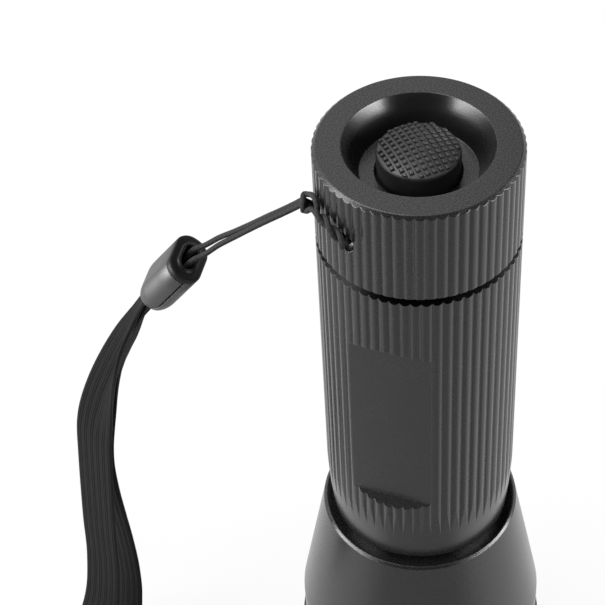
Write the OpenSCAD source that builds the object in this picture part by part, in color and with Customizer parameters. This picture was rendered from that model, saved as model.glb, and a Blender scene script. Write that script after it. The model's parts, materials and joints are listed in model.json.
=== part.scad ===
// Pocket torch with a ribbed barrel, a recessed rubber tail button, a sliding focus head and a wrist strap.
// It stands on its bezel: +Z runs up the axis to the tail, and the origin is the centre of the bezel face.
// All lengths are in millimetres.

/* [Barrel] */
// Diameter over the rib crests of the barrel and the tail cap
barrel_d = 30.4; // [29:0.1:34]
// Exposed length of the barrel, from its lower end to the tail cap seam
barrel_len = 61; // [56:1:72]
// Bore that holds the battery carrier
bore_d = 22.4; // [22.3:0.1:23]
// Number of lengthwise ribs
rib_count = 60; // [40:2:72]
// Radius of a rib's rounded back
rib_r = 1.25; // [1.1:0.05:1.6]
// Height over which the lower end of the barrel rounds inwards
taper_h = 14.4; // [6:0.2:16]
// How far the lower end of the barrel rounds inwards
taper_in = 0.75; // [0.4:0.05:1.2]
// Chamfer of the upper edge of the barrel
barrel_chamfer = 1.0; // [0.5:0.1:1.4]
// Depth of the flat panel below the crests
flat_depth = 1.5; // [0.8:0.1:2]
// Length of the flat panel, without its ramped ends
flat_len = 33.6; // [20:0.2:40]
// Distance from the upper edge of the barrel to the flat panel
flat_inset = 13; // [8:0.5:16]
// Direction that the flat panel faces, measured from the front
flat_turn = -17.9; // [-180:0.1:180]

/* [Tail cap] */
// Height of the tail cap
cap_h = 16.1; // [15:0.1:20]
// Gap at the seam between the barrel and the tail cap
seam_gap = 0.3; // [0.2:0.05:0.6]
// Chamfer of the upper edge of the tail cap
cap_chamfer = 0.55; // [0.2:0.05:1]
// Diameter of the dish at the rim
dish_rim_d = 22; // [20:0.5:24]
// Diameter of the dish floor
dish_floor_d = 17.2; // [15:0.2:19]
// Depth of the dish
dish_depth = 5; // [4:0.1:5.5]
// Thickness of the dish floor
dish_floor_t = 1.4; // [1:0.1:1.8]
// Diameter of the chamber that holds the switch
chamber_d = 17.6; // [17.2:0.1:18]
// Length of the threaded spigot below the tail cap
spigot_len = 9; // [7:0.5:12]
// Diameter over the spigot's thread
spigot_d = 24.6; // [23.6:0.1:25]
// Pitch of the spigot's thread
thread_pitch = 1; // [0.75:0.25:1.25]
// Depth of the spigot's thread
thread_depth = 0.45; // [0.3:0.05:0.6]

/* [Tail button] */
// Diameter of the rubber button
button_d = 12.14; // [10:0.1:13]
// Gap between the button and the hole in the dish
button_gap = 0.28; // [0.2:0.02:0.4]
// Distance of the dome's edge below the rim of the tail cap
button_drop = 1.43; // [1.3:0.05:3]
// Height of the domed top
dome_h = 1.2; // [0.6:0.1:1.3]
// Travel of the button
button_travel = 2; // [1:0.1:2.2]
// Wall of the rubber boot
boot_wall = 1.2; // [0.8:0.1:1.6]
// Thickness of the boot's clamped rim
boot_rim_t = 1; // [0.6:0.1:1.2]

/* [Switch] */
// Height of the switch housing
housing_h = 5.2; // [4.6:0.1:6]
// Thickness of the housing's floor, where the switch works are
housing_floor_t = 3; // [2.7:0.1:3.2]
// Diameter of the switch plunger
plunger_d = 4; // [3:0.1:5]
// Thickness of the circuit boards
board_t = 1.2; // [0.8:0.1:1.6]
// Thickness of the ring that holds the switch in the cap
retainer_t = 1.8; // [1.2:0.1:2.4]
// Hole in that ring
retainer_hole_d = 12; // [11:0.5:13]
// Radial gap round the parts in the chamber
chamber_gap = 0.2; // [0.1:0.05:0.4]

/* [Focus head] */
// Length of the head, from the bezel face to the rear lip
head_len = 38.5; // [38:0.1:46]
// Gap between the head and the barrel when the head is pushed home
focus_gap = 1.1; // [0.3:0.1:1.6]
// Travel of the head
focus_travel = 6; // [3:0.5:6]
// Length of the neck that slides in the head
neck_len = 18; // [17:0.5:19]
// Diameter of the neck
neck_d = 25.7; // [25:0.1:26]
// Radial running gap of the neck and of the spigot
run_gap = 0.25; // [0.15:0.05:0.35]
// Diameter of the rear lip
lip_d = 32.3; // [31:0.1:33.5]
// Height of the funnel inside the rear lip
funnel_h = 0.9; // [0.5:0.1:0.9]
// Diameter of the front of the head
head_d = 41.1; // [40:0.1:46]
// Height of the front band, below the cone
band_h = 13.8; // [12:0.2:16]
// Diameter of the bezel
bezel_d = 42; // [41:0.2:47]
// Visible height of the bezel
bezel_h = 5; // [4:0.2:6]
// Height of the bezel's threaded skirt inside the head
skirt_h = 5; // [4:0.2:6]
// Diameter of the lens over its rim
lens_d = 34.8; // [33:0.2:35]
// Thickness of the lens rim
lens_rim_t = 2; // [1.5:0.1:2.5]
// Height of the lens dome
lens_dome_h = 6.2; // [3:0.2:6.2]
// Thickness of the lens gasket
gasket_t = 0.8; // [0.5:0.1:1]
// Width and depth of the grooves round the front band
band_groove = 0.6; // [0.3:0.1:0.9]

/* [Light source] */
// Height of the metal pill that carries the emitter and the driver
pill_h = 10; // [8:0.5:12]
// Thickness of the pill's front wall
pill_wall = 2.5; // [2:0.1:4]
// Diameter of the emitter board
star_d = 16; // [12:0.5:18]
// Thickness of the emitter board
star_t = 1.6; // [1:0.1:2]
// Side of the emitter package
emitter_w = 3.4; // [3:0.1:5]
// Diameter of the lead wires
wire_d = 0.9; // [0.6:0.1:1.2]

/* [Batteries] */
// Diameter of a cell
cell_d = 10.1; // [9.9:0.05:10.2]
// Length of a cell, with its positive nub
cell_len = 44.5; // [44:0.1:45]
// Thickness of the carrier's end discs
carrier_end_t = 2.2; // [1.6:0.1:3]
// Thickness of the cell contacts
contact_t = 0.5; // [0.3:0.1:0.8]
// Wire of the contact springs
spring_wire = 0.8; // [0.6:0.1:1]
// Turns of the contact springs
spring_turns = 4; // [3:1:5]

/* [Seals] */
// Thickness of the sealing rings
seal_d = 1.2; // [1:0.1:1.3]
// Gap between a seal and the wall it runs on
seal_gap = 0.1; // [0.05:0.05:0.15]

/* [Lanyard] */
// Distance of the lanyard tunnel below the rim of the tail cap
tunnel_drop = 8.6; // [8.2:0.05:10]
// Distance from the axis of the place where the tunnel's two drillings meet
meet_r = 11; // [10.6:0.1:11.4]
// Diameter of the lanyard tunnel
tunnel_d = 2.5; // [2.3:0.1:2.6]
// Diameter of the dimples at the tunnel's mouths
mouth_d = 3.2; // [3:0.1:4]
// Diameter of the doubled cord between the knot and the tail cap
tether_d = 1.6; // [1.2:0.1:1.8]
// Diameter of one strand of cord
strand_d = 0.9; // [0.7:0.1:1.1]
// Diameter of the knot
knot_d = 2.6; // [2.4:0.1:2.7]
// Width of the strap
strap_w = 8; // [6:0.5:10]
// Width of the strap where the ferrule gathers it
strap_gathered_w = 5.4; // [4.8:0.1:5.6]
// Thickness of the strap
strap_t = 0.8; // [0.5:0.1:0.9]
// Length of the ferrule
ferrule_len = 10.5; // [10:0.5:16]
// Width of the ferrule
ferrule_w = 8.6; // [8.4:0.1:11]
// Thickness of the ferrule
ferrule_t = 5.6; // [5.4:0.2:7]
// Wall of the ferrule's metal shell
ferrule_wall = 0.7; // [0.4:0.1:0.9]

/* [Hidden] */
$fn = 64;
// Overlap that lets one cut pass through a face
eps = 0.5;
// Small chamfer that takes off a sharp edge
edge_break = 0.15;
// Gap between parts that lie against each other
rest_gap = 0.05;
// Gap that is left at the end of a travel
stop_gap = 0.3;
// Gap below the end of the spigot
end_gap = 0.4;
// Play of a cell, a lead or a board in its seat
play = 0.2;

// Levels up the axis
z_lip = head_len;
z_collar = z_lip + focus_gap;
z_seam = z_collar + barrel_len;
z_cap = z_seam + seam_gap;
z_rim = z_cap + cap_h;
z_dish = z_rim - dish_depth;
z_under = z_dish - dish_floor_t;
z_spigot = z_seam - spigot_len;
z_neck = z_collar - neck_len;
z_tunnel = z_rim - tunnel_drop;
z_flat = z_seam - flat_inset - flat_len;
z_cap_seal = z_seam - barrel_chamfer - seal_d / 2;

// Radii
crest_r = barrel_d / 2;
bore_r = bore_d / 2;
neck_r = neck_d / 2;
guide_r = neck_r + run_gap;
spigot_r = spigot_d / 2;
socket_r = spigot_r + run_gap;
chamber_r = chamber_d / 2;
module_r = chamber_r - chamber_gap;
button_r = button_d / 2;
button_hole_r = button_r + button_gap;

// Phase of the ribs of the barrel and of the tail cap, in degrees
barrel_rib_phase = 4.1;
cap_rib_phase = 0.7;
// Depth below the crests of the round core that the ribs stand on
rib_core_depth = 0.6;
// Steps of the rounded lower end of the barrel, which starts a little outside the crests
taper_steps = 6;
taper_lead = 0.04;

// Switch stack, from the dish floor down
z_housing_top = z_under - boot_rim_t - rest_gap;
z_housing = z_housing_top - housing_h;
z_works = z_housing + housing_floor_t;
z_board = z_housing - board_t;
z_retainer = z_board - retainer_t;
z_boot = z_works + button_travel + stop_gap;
z_dome_edge = z_rim - button_drop;
plunger_r = plunger_d / 2;
plunger_gap = 0.3;
plunger_below = 0.2;
spanner_slot = 1.6;
rim_hole_r = button_hole_r + seal_gap;

// Head stack, from the bezel up
stop_ring_t = 1.2;
stop_ring_inset = 0.8;
stop_ring_lap = 0.5;
stop_groove_depth = 0.7;
head_room_gap = 0.35;
seal_inset = 0.5;
stop_ring_r = guide_r + stop_ring_lap;
stop_groove_r = neck_r - stop_groove_depth;
head_room_r = stop_ring_r + head_room_gap;
z_stop_ring = z_neck + stop_ring_inset;
z_shoulder = z_stop_ring + stop_ring_t + focus_travel + stop_gap;
z_focus_seal = z_shoulder + seal_inset + seal_d / 2;
z_seat = bezel_h + skirt_h;
z_lens_rim = z_seat - lens_rim_t;
z_ledge = z_lens_rim - gasket_t;
z_light_room = z_neck - star_t - stop_gap;
lip_round = 0.4;
lip_land = 0.15;
funnel_r = lip_d / 2 - lip_round - lip_land;
lens_flange_w = 1.2;
aperture_gap = 0.4;
skirt_wall = 1.6;
lens_r = lens_d / 2;
lens_dome_r = lens_r - lens_flange_w;
aperture_r = lens_dome_r + aperture_gap;
lens_bay_r = lens_r + play;
skirt_r = lens_bay_r + skirt_wall;
skirt_gap = 0.1;
bezel_seam = 0.2;
lens_shelf = 0.8;
bezel_chamfer = 0.6;
band_grooves = 3;

// Light source stack
z_pill_top = z_neck + pill_h;
z_driver_top = z_pill_top + board_t;
pill_skirt_t = 1.8;
driver_inset = 0.6;
wire_inset = 2;
pill_r = bore_r - rest_gap;
pill_room_r = pill_r - pill_skirt_t;
wire_spread = star_d / 2 - wire_inset;
emitter_base_t = 0.8;
emitter_dome_r = 0.37 * emitter_w;

// Battery stack, hung below the spigot
cell_r = cell_d / 2;
cell_count = 3;
cell_gap = 0.1;
cell_ring_r = (cell_r + cell_gap) / sin(180 / cell_count);
nub_r = 1.9;
nub_h = 1;
carrier_r = bore_r - run_gap;
z_carrier_top = z_spigot - end_gap - contact_t;
carrier_len = cell_len + 2 * (contact_t + play + carrier_end_t);
z_carrier = z_carrier_top - carrier_len;
terminal_r = 6;
contact_r = 3;
spring_gap = 0.15;
spring_tip_r = 3;
driver_spring_r = 5;
tail_spring_r = 4.6;

// Lanyard, with its route chosen by hand
ferrule_tilt = 36.2;
ferrule_turn = -11.9;
ferrule_end = [-40.36, 1.28, 85.92];
ferrule_corner = 2.6;
ferrule_taper = 2.6;
crimp = 0.7;
sliver = 0.01;
strap_side_gap = 0.4;
ferrule_size = [ferrule_t, ferrule_w];
ferrule_slot = [2 * strap_t, strap_gathered_w] + 2 * [strap_side_gap, strap_side_gap];
plug_flange_t = 1;
plug_depth = 5;
plug_slot = [2.2, 4.4];
plug_lip = 0.4;
plug_lip_w = 0.6;
knot_at = [-16.3, -4.0, 109.4];

// Directions of the tunnel's two mouths and of the place where its drillings meet, from +X, in degrees
mouth_turns = [226.8, 194];
meet_turn = 208.2;
// How much wider than the tunnel the ball is that clears the place where the drillings meet
meet_extra = 0.4;

// Route of the doubled cord: from the knot along the tail cap, in at one mouth, out at the other and back
tether_route = [
    [-15.75, -5.0, 109.5], [-15.2, -5.9, 109.9], [-14.6, -6.8, 110.2], [-13.85, -8.2, 110.5],
    [-13.1, -9.35, 110.55], [-12.35, -10.35, 110.4], [-11.6, -11.2, 110.1], [-10.95, -11.9, 109.75],
    [-10.5, -12.25, 109.3], [-10.4, -11.95, 108.75], [-10.4, -11.1, 108.4], [-10.2, -9.4, 108.4],
    [-9.95, -7.4, 108.4], [-9.85, -6.2, 108.4], [-9.98, -5.4, 108.4], [-10.8, -4.87, 108.4],
    [-12.6, -4.33, 108.4], [-14.75, -3.68, 108.4], [-15.55, -3.65, 108.6]
];

// Route midway between the two strands, from the knot into the ferrule, and half their distance apart
strand_route = [
    [-17.0, -3.8, 108.7], [-19.5, -3.2, 106.85], [-22.0, -2.65, 104.95], [-24.5, -1.9, 102.7],
    [-27.0, -1.2, 100.5], [-29.5, -0.5, 98.35], [-31.8, -0.1, 96.2], [-33.5, -0.1, 95.25],
    [-34.3, 0, 94.35], [-35.3, 0.2, 92.95], [-36.3, 0.43, 91.57]
];
strand_apart = [0.5, 0.5, 0.5, 0.5, 0.6, 0.8, 1.0, 1.1, 1.1, 1.1, 1.1];

// Route of the strap: out of the ferrule, down the front leg, round the loop on the floor and back up
strap_route = [
    [-39.27, 1.05, 88.2], [-40.72, 1.36, 86.19], [-41.87, 1.6, 84.57], [-44.1, 1.0, 81.2], [-47.2, 0.2, 76.0],
    [-49.75, -0.6, 69.6], [-51.75, -1.3, 62.5], [-53.1, -1.6, 55.5], [-53.8, -1.8, 48.0],
    [-54.4, -2.1, 40.0], [-55.0, -2.4, 31.0], [-55.4, -3.0, 22.0], [-56.4, -4.8, 13.5],
    [-58.3, -7.6, 8.6], [-61.6, -12.0, 6.4], [-66.4, -18.2, 6.5], [-71.6, -24.8, 7.2],
    [-76.6, -31.2, 7.8], [-80.8, -36.6, 7.2], [-83.0, -39.4, 5.4], [-83.4, -40.0, 3.4],
    [-82.0, -38.2, 1.5], [-79.0, -34.4, 0.6], [-74.0, -28.0, 0.5], [-68.0, -20.4, 0.5],
    [-62.0, -12.8, 0.5], [-57.2, -6.4, 1.0], [-54.2, -1.6, 3.8], [-53.2, 1.4, 9.0],
    [-53.1, 2.8, 16.0], [-53.4, 3.0, 24.0], [-53.8, 2.6, 32.0], [-54.1, 2.2, 39.5],
    [-54.0, 1.8, 47.0], [-53.1, 1.7, 54.6], [-51.5, 1.5, 61.6], [-49.4, 1.6, 68.6], [-46.7, 1.9, 75.2],
    [-43.7, 1.9, 80.4], [-41.16, 1.45, 84.04], [-40.0, 1.2, 85.65], [-38.56, 0.9, 87.67]
];
// Number of points at each end over which the strap spreads and turns
strap_spread = 6;
// Direction of the strap's width at the ferrule and along the loop, from +X, in degrees
strap_turn = [ferrule_turn - 90, -38];

// Every separate piece

// Directions and sweeps
function unit(v) = v / norm(v);
function tangent(pts, i) = unit(pts[min(i + 1, len(pts) - 1)] - pts[max(i - 1, 0)]);
function on_circle(r, a) = [r * cos(a), r * sin(a)];
function round_section(r, sides) = [for (k = [0 : sides - 1]) on_circle(r, k * 360 / sides)];

// Ring of points round one route point, with the section's x along the direction across
function ring_at(p, t, across, section) =
    let (u = unit(across - (across * t) * t), v = cross(t, u))
    [for (s = section) p + s.x * u + s.y * v];

// Side faces and end caps of a sweep of some rings, all triangles
function sweep_faces(rings, sides) = concat(
    [for (i = [0 : rings - 2], k = [0 : sides - 1]) let (n = (k + 1) % sides)
        [i * sides + k, (i + 1) * sides + n, i * sides + n]],
    [for (i = [0 : rings - 2], k = [0 : sides - 1]) let (n = (k + 1) % sides)
        [i * sides + k, (i + 1) * sides + k, (i + 1) * sides + n]],
    [for (k = [1 : sides - 2]) [0, k, k + 1]],
    [for (k = [1 : sides - 2]) let (b = (rings - 1) * sides) [b, b + k + 1, b + k]]
);

// Tube along a route, with the sections turned from one steady direction
module tube(pts, d, across, sides = 8) {
    section = round_section(d / 2, sides);
    polyhedron(
        points = [for (i = [0 : len(pts) - 1]) each ring_at(pts[i], tangent(pts, i), across, section)],
        faces = sweep_faces(len(pts), sides)
    );
}

// Points of a coil spring that widens from one end to the other
function coil_points(z0, z1, r0, r1, turns, steps = 10) = [
    for (i = [0 : turns * steps]) let (s = i / (turns * steps), a = 360 * turns * s, r = r0 + (r1 - r0) * s)
        [r * cos(a), r * sin(a), z0 + (z1 - z0) * s]
];

// Coil spring of the contact wire between two levels
module coil_spring(z0, z1, r0, r1) {
    half = spring_wire / 2;
    tube(coil_points(z0 + half, z1 - half, r0, r1, spring_turns), spring_wire, [0, 0, 1], 6);
}

// Flat ring or disc between two levels
module disc(r, z0, z1, hole_r = 0) {
    translate([0, 0, z0]) difference() {
        cylinder(r = r, h = z1 - z0);
        if (hole_r > 0) translate([0, 0, -eps]) cylinder(r = hole_r, h = z1 - z0 + 2 * eps);
    }
}

// Ring of round section
module seal_ring(outer_r, z) {
    translate([0, 0, z]) rotate_extrude() translate([outer_r - seal_d / 2, 0]) circle(d = seal_d);
}

// Square groove that holds a sealing ring, cut from a shaft
module seal_groove(outer_r, z, shaft_r) {
    half = seal_d / 2 + seal_gap;
    rotate_extrude() translate([outer_r - seal_d - rest_gap, z - half]) square([seal_d + shaft_r, 2 * half]);
}

// Bar with rounded lengthwise ribs between two levels
module ribbed_bar(z0, z1, phase) {
    translate([0, 0, z0]) linear_extrude(z1 - z0) union() {
        circle(r = crest_r - rib_core_depth);
        for (i = [0 : rib_count - 1]) rotate(phase + i * 360 / rib_count)
            translate([crest_r - rib_r, 0]) circle(r = rib_r);
    }
}

// Rounded rectangle of exact arcs
module rounded_plate(size, corner) {
    inner = size / 2 - [corner, corner];
    square([size.x, 2 * inner.y], center = true);
    square([2 * inner.x, size.y], center = true);
    for (sx = [-1, 1], sy = [-1, 1]) translate([sx * inner.x, sy * inner.y]) circle(r = corner);
}

// Slot with round ends, longer along y
module slot_plate(size) {
    run = size.y - size.x;
    square([size.x, run], center = true);
    for (sy = [-1, 1]) translate([0, sy * run / 2]) circle(d = size.x);
}

// Focus head
module head_shell() color("#3a3a3d") difference() {
    rotate_extrude() polygon([
        [0, bezel_h + bezel_seam], [head_d / 2, bezel_h + bezel_seam], [head_d / 2, band_h],
        [lip_d / 2, z_lip - lip_round], [lip_d / 2 - lip_round, z_lip], [0, z_lip]
    ]);
    rotate_extrude() polygon([
        [0, bezel_h - eps], [skirt_r + skirt_gap, bezel_h - eps], [skirt_r + skirt_gap, z_seat],
        [aperture_r - lens_shelf, z_seat], [head_room_r, z_light_room], [head_room_r, z_shoulder],
        [guide_r, z_shoulder], [guide_r, z_lip - funnel_h], [funnel_r, z_lip], [funnel_r, z_lip + eps],
        [0, z_lip + eps]
    ]);
    step = (band_h - bezel_h) / (band_grooves + 1);
    for (i = [1 : band_grooves]) rotate_extrude()
        translate([head_d / 2 - band_groove, bezel_h + i * step - band_groove / 2])
            square([band_groove + eps, band_groove]);
}

module bezel_ring() color("#2f2f32") rotate_extrude() polygon([
    [aperture_r + bezel_chamfer, 0], [bezel_d / 2 - bezel_chamfer, 0], [bezel_d / 2, bezel_chamfer],
    [bezel_d / 2, bezel_h], [skirt_r, bezel_h], [skirt_r, z_seat - rest_gap],
    [lens_bay_r, z_seat - rest_gap], [lens_bay_r, z_ledge],
    [aperture_r, z_ledge], [aperture_r, bezel_chamfer]
]);

module lens_gasket() color("#1c1c1c") disc(lens_r, z_ledge, z_lens_rim, aperture_r);

module focus_lens() color("#dfe8ee", 0.5) union() {
    ball_r = (lens_dome_r * lens_dome_r + lens_dome_h * lens_dome_h) / (2 * lens_dome_h);
    disc(lens_r, z_lens_rim, z_seat);
    intersection() {
        disc(lens_dome_r, z_lens_rim - lens_dome_h - eps, z_lens_rim);
        translate([0, 0, z_lens_rim - lens_dome_h + ball_r]) sphere(r = ball_r, $fn = 96);
    }
}

// Barrel
// Outline in which the ribs of the barrel end: a rounded lower end and a chamfered upper edge
module barrel_envelope() rotate_extrude() polygon([
    for (i = [taper_steps : -1 : 0]) let (s = i / taper_steps)
        [crest_r + taper_lead - (taper_in + taper_lead) * s * s, z_collar + taper_h * (1 - s)],
    [crest_r + eps, z_collar + taper_h], [crest_r + eps, z_seam - barrel_chamfer - eps],
    [crest_r - barrel_chamfer, z_seam], [0, z_seam], [0, z_collar]
]);

// Cut of the flat panel, with ends that ramp out at 45 degrees
module flat_cut() {
    out = flat_depth + eps;
    plane_r = crest_r - flat_depth;
    rotate(flat_turn - 90) translate([plane_r, 0, z_flat]) rotate([90, 0, 0])
        linear_extrude(barrel_d, center = true)
            polygon([[0, 0], [out, -out], [out, flat_len + out], [0, flat_len]]);
}

module body_tube() color("#343437") difference() {
    union() {
        intersection() {
            ribbed_bar(z_collar, z_seam, barrel_rib_phase);
            barrel_envelope();
        }
        disc(neck_r, z_neck, z_collar + eps);
    }
    disc(bore_r, z_neck - eps, z_seam + eps);
    disc(socket_r, z_spigot - end_gap, z_seam + eps);
    flat_cut();
    seal_groove(guide_r - seal_gap, z_focus_seal, neck_r);
    disc(neck_r + eps, z_stop_ring - rest_gap, z_stop_ring + stop_ring_t + rest_gap, stop_groove_r);
}

module focus_seal() color("#1b1b1c") seal_ring(guide_r - seal_gap, z_focus_seal);

module stop_ring() color("#8c8c90")
    disc(stop_ring_r, z_stop_ring, z_stop_ring + stop_ring_t, stop_groove_r + rest_gap);

// Light source
module wire_holes(gap) for (sx = [-1, 1]) translate([sx * wire_spread, 0, z_neck - star_t - eps])
    cylinder(d = wire_d + gap, h = pill_h + star_t + eps);

module led_pill() color("#b59a5a") difference() {
    disc(pill_r, z_neck, z_pill_top);
    disc(pill_room_r, z_neck + pill_wall, z_pill_top + eps);
    wire_holes(2 * play);
}

module led_board() color("#e8e8e4") difference() {
    disc(star_d / 2, z_neck - star_t, z_neck);
    wire_holes(2 * play);
}

module led_emitter() color("#f0d860") union() {
    z_face = z_neck - star_t;
    translate([-emitter_w / 2, -emitter_w / 2, z_face - emitter_base_t])
        cube([emitter_w, emitter_w, emitter_base_t]);
    difference() {
        translate([0, 0, z_face - emitter_base_t]) sphere(r = emitter_dome_r);
        disc(2 * emitter_w, z_face - emitter_base_t / 2, z_face + 2 * emitter_w);
    }
}

module led_wires() color("#b03028") for (sx = [-1, 1])
    translate([sx * wire_spread, 0, z_neck - star_t]) cylinder(d = wire_d, h = pill_h + star_t);

module driver_board() color("#2f6b3c") disc(pill_r - driver_inset, z_pill_top, z_driver_top);

module driver_spring() color("#c8b070")
    coil_spring(z_driver_top + spring_gap, z_carrier - contact_t - spring_gap, driver_spring_r, spring_tip_r);

// Batteries
module at_cells() for (i = [0 : cell_count - 1])
    rotate(90 + i * 360 / cell_count) translate([cell_ring_r, 0, 0]) children();

module carrier_frame() color("#28282a") union() {
    disc(carrier_r, z_carrier, z_carrier + carrier_end_t);
    disc(carrier_r, z_carrier_top - carrier_end_t, z_carrier_top);
    translate([0, 0, z_carrier]) linear_extrude(carrier_len) difference() {
        circle(r = carrier_r);
        at_cells() circle(r = cell_r + cell_gap + rest_gap);
    }
}

// Cells in series, so each stands the other way up from the last
module battery_cells() color("#5a6a86") for (i = [0 : cell_count - 1])
    rotate(90 + i * 360 / cell_count) translate([cell_ring_r, 0, 0]) {
        z_low = z_carrier + carrier_end_t + contact_t + play;
        up = i % 2 == 0;
        disc(cell_r, up ? z_low : z_low + nub_h, up ? z_low + cell_len - nub_h : z_low + cell_len);
        disc(nub_r, up ? z_low + cell_len - nub_h - eps : z_low, up ? z_low + cell_len : z_low + nub_h + eps);
    }

module carrier_contacts() color("#d0d0d2") {
    at_cells() {
        disc(contact_r, z_carrier + carrier_end_t, z_carrier + carrier_end_t + contact_t);
        disc(contact_r, z_carrier_top - carrier_end_t - contact_t, z_carrier_top - carrier_end_t);
    }
    disc(terminal_r, z_carrier - contact_t, z_carrier);
    disc(terminal_r, z_carrier_top, z_carrier_top + contact_t);
}

module tail_spring() color("#c8b070")
    coil_spring(z_carrier_top + contact_t + spring_gap, z_board - spring_gap, spring_tip_r, tail_spring_r);

// Tail cap
module cap_envelope() rotate_extrude() polygon([
    [0, z_cap], [crest_r - edge_break, z_cap], [crest_r, z_cap + edge_break], [crest_r, z_rim - cap_chamfer],
    [crest_r - cap_chamfer, z_rim], [0, z_rim]
]);

// Plain rings stand for the thread, and its mate is a smooth socket
module spigot() {
    z_thread = z_spigot + thread_pitch / 2;
    turns = floor((z_cap_seal - seal_d - z_thread) / thread_pitch);
    difference() {
        disc(spigot_r, z_spigot, z_cap + eps);
        for (i = [0 : turns - 1]) translate([0, 0, z_thread + i * thread_pitch]) rotate_extrude()
            polygon([[spigot_r - thread_depth, thread_pitch / 2], [spigot_r, 0],
                     [spigot_r + eps, 0], [spigot_r + eps, thread_pitch], [spigot_r, thread_pitch]]);
        seal_groove(socket_r - seal_gap, z_cap_seal, spigot_r);
    }
}

// Tunnel of two drillings that meet in the wall of the tail cap
module lanyard_tunnel() translate([0, 0, z_tunnel]) {
    meet = on_circle(meet_r, meet_turn);
    translate(meet) sphere(d = tunnel_d + meet_extra);
    for (turn = mouth_turns) {
        mouth = on_circle(crest_r, turn);
        run = mouth - meet;
        translate(meet) rotate([0, 90, atan2(run.y, run.x)]) cylinder(d = tunnel_d, h = norm(run) + mouth_d);
        translate(mouth) sphere(d = mouth_d);
    }
}

module tail_cap() color("#39393c") difference() {
    union() {
        intersection() {
            ribbed_bar(z_cap, z_rim, cap_rib_phase);
            cap_envelope();
        }
        spigot();
    }
    rotate_extrude() polygon([
        [0, z_dish], [dish_floor_d / 2, z_dish], [dish_rim_d / 2, z_rim],
        [dish_rim_d / 2, z_rim + eps], [0, z_rim + eps]
    ]);
    disc(button_hole_r, z_under - eps, z_dish + eps);
    disc(chamber_r, z_spigot - eps, z_under);
    lanyard_tunnel();
}

module cap_seal() color("#1b1b1c") seal_ring(socket_r - seal_gap, z_cap_seal);

module boot_rim() color("#202022") disc(module_r, z_under - boot_rim_t, z_under, rim_hole_r);

// Switch
module switch_housing() color("#1e1e20") difference() {
    disc(module_r, z_housing, z_housing_top);
    disc(rim_hole_r, z_works, z_housing_top + eps);
    disc(plunger_r + plunger_gap, z_works - plunger_below - button_travel - stop_gap, z_works + eps);
}

module switch_board() color("#2f6b3c") disc(module_r, z_board, z_housing);

module retaining_ring() color("#8c8c90") difference() {
    disc(module_r, z_retainer, z_board, retainer_hole_d / 2);
    translate([0, 0, z_retainer]) cube([chamber_d, spanner_slot, spanner_slot], center = true);
}

// Button
module button_boot() color("#232325") difference() {
    ball_r = (button_r * button_r + dome_h * dome_h) / (2 * dome_h);
    intersection() {
        disc(button_r, z_boot, z_dome_edge + dome_h + eps);
        translate([0, 0, z_dome_edge + dome_h - ball_r]) sphere(r = ball_r, $fn = 128);
    }
    disc(button_r - boot_wall, z_boot - eps, z_dome_edge - boot_wall, plunger_r);
}

module switch_plunger() color("#c9c4b4") disc(plunger_r, z_works - plunger_below, z_boot);

// Lanyard
module lanyard_tether() color("#1f1f20") tube(tether_route, tether_d, [0, 0, 1]);

module lanyard_knot() color("#1f1f20") translate(knot_at) sphere(d = knot_d, $fn = 32);

module lanyard_cord() color("#2a2a2b") for (side = [-1, 1]) {
    route = [for (i = [0 : len(strand_route) - 1]) strand_route[i] + [0, side * strand_apart[i], 0]];
    tube(route, strand_d, [0, 1, 0]);
}

// Places a shape in the ferrule's own frame: z runs from the strap end to the cord end
module on_ferrule() translate(ferrule_end) rotate([0, ferrule_tilt, ferrule_turn]) children();

module strap_ferrule() color("#8e8e92") on_ferrule() difference() {
    union() {
        translate([0, 0, ferrule_taper]) linear_extrude(ferrule_len - ferrule_taper - plug_flange_t)
            rounded_plate(ferrule_size, ferrule_corner);
        hull() {
            translate([0, 0, ferrule_taper]) linear_extrude(sliver)
                rounded_plate(ferrule_size, ferrule_corner, $fn = 32);
            linear_extrude(sliver)
                rounded_plate(ferrule_size - 2 * [crimp, crimp], ferrule_corner - crimp, $fn = 32);
        }
    }
    translate([0, 0, ferrule_taper]) linear_extrude(ferrule_len)
        rounded_plate(ferrule_size - 2 * [ferrule_wall, ferrule_wall], ferrule_corner - ferrule_wall);
    translate([0, 0, -eps]) linear_extrude(ferrule_len)
        square(ferrule_slot, center = true);
}

module ferrule_plug() color("#18181a") on_ferrule() difference() {
    z_face = ferrule_len - plug_flange_t;
    inset = ferrule_wall + rest_gap;
    union() {
        translate([0, 0, z_face]) linear_extrude(plug_flange_t) rounded_plate(ferrule_size, ferrule_corner);
        translate([0, 0, z_face - plug_depth]) linear_extrude(plug_depth + eps)
            rounded_plate(ferrule_size - 2 * [inset, inset], ferrule_corner - inset);
        translate([0, 0, z_face]) linear_extrude(plug_flange_t + plug_lip)
            slot_plate(plug_slot + 2 * [plug_lip_w, plug_lip_w]);
    }
    translate([0, 0, z_face - plug_depth - eps]) linear_extrude(ferrule_len)
        slot_plate(plug_slot);
}

// Section of the strap, with its edges worn round
function strap_section(width) = let (w = width / 2, t = strap_t / 2, flat = w - t) [
    [w, -t / 2], [w, t / 2], [flat, t], [-flat, t],
    [-w, t / 2], [-w, -t / 2], [-flat, -t], [flat, -t]
];

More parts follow.
